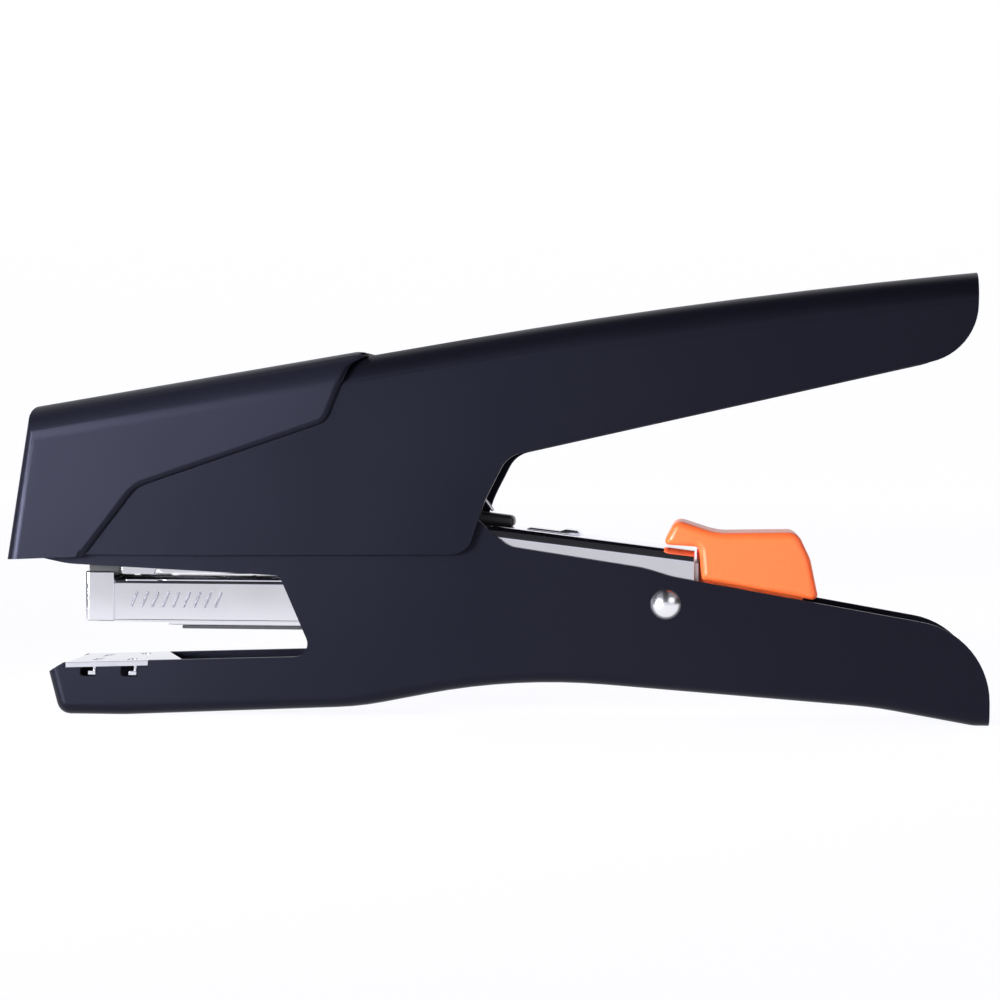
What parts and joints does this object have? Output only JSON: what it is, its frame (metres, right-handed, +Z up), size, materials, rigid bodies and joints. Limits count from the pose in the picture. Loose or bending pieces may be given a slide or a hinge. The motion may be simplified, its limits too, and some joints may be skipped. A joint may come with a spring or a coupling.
{
  "type": "plier stapler",
  "caption": "Hand-squeezed plier stapler: pressed steel C frame, pivoting upper handle with nose cover, driver lever, chromed magazine, anvil and orange pusher grip.",
  "frame": {"origin": "middle of the overall footprint, on the surface the stapler rests on", "axes": "+X from the nose to the handle ends, +Y across to the far side, +Z up"},
  "size_m": [0.1918, 0.026, 0.0873],
  "materials": {
    "black_paint": "satin black stoved paint on pressed steel",
    "cover_plastic": "fine matt black moulded plastic",
    "chrome": "bright nickel-chrome plating",
    "steel": "turned bright steel",
    "zinc_steel": "zinc-plated pressed steel",
    "blade_steel": "hardened ground steel",
    "spring_steel": "oiled spring wire",
    "dark_steel": "blackened steel",
    "black_plastic": "matt black moulded plastic",
    "orange_plastic": "satin orange moulded plastic",
    "rubber": "black rubber"
  },
  "bodies": {
    "frame": {"frame_shell": "black_paint", "anvil_plate": "chrome", "nose_pin": "steel", "nose_spacer": "steel", "pivot_rivets": "chrome", "stop_pin": "steel", "spring_seat": "steel", "lift_spring": "spring_steel"},
    "upper_handle": {"handle_shell": "black_paint", "nose_cover": "cover_plastic", "roller_bracket": "zinc_steel", "roller_pin": "steel"},
    "roller": {"pressure_roller": "steel"},
    "driver": {"driver_lever": "chrome", "blade_holder": "dark_steel", "blade_rivets": "steel", "driver_blade": "blade_steel", "lever_bumper": "rubber"},
    "magazine": {"magazine_sleeve": "chrome", "nose_plate": "chrome", "blade_guide": "black_plastic", "staple_rail": "zinc_steel", "magazine_base": "dark_steel", "driver_spring": "spring_steel"},
    "pusher": {"pusher_grip": "orange_plastic", "rod_plate": "zinc_steel", "pusher_rod": "steel", "latch_spring": "spring_steel", "follower_spring": "spring_steel"},
    "follower": {"follower_block": "black_plastic"}
  },
  "joints": [
    {"name": "handle_squeeze", "type": "hinge", "parent": "frame", "child": "upper_handle", "pos_m": [-0.087, 0, 0.045], "axis": [0, 1, 0], "range_deg": [0, 9.9], "stiffness_Nm_per_rad": 0.8, "springref_deg": -20.05},
    {"name": "roller_spin", "type": "hinge", "parent": "upper_handle", "child": "roller", "pos_m": [-0.034, 0, 0.04666], "axis": [0, 1, 0], "continuous": true},
    {"name": "driver_swing", "type": "hinge", "parent": "frame", "child": "driver", "pos_m": [0.0338, 0, 0.023], "axis": [0, -1, 0], "range_deg": [0, 7.7], "stiffness_Nm_per_rad": 0.2, "springref_deg": -17.19, "deforming": ["driver_spring"]},
    {"name": "magazine_swing", "type": "hinge", "parent": "frame", "child": "magazine", "pos_m": [0.0338, 0, 0.023], "axis": [0, -1, 0], "range_deg": [0, 3.31], "stiffness_Nm_per_rad": 0.2, "springref_deg": -14.32, "deforming": ["lift_spring"]},
    {"name": "pusher_slide", "type": "slide", "parent": "magazine", "child": "pusher", "axis": [1, 0, 0], "range_m": [0, 0.06]},
    {"name": "follower_slide", "type": "slide", "parent": "pusher", "child": "follower", "axis": [1, 0, 0], "range_m": [0, 0.055], "stiffness_N_per_m": 25, "springref_m": -0.05, "deforming": ["follower_spring"]}
  ],
  "couplings": [
    {"joint": "driver_swing", "follows": "handle_squeeze", "ratio": 0.775},
    {"joint": "magazine_swing", "follows": "handle_squeeze", "ratio": 0.3333}
  ]
}
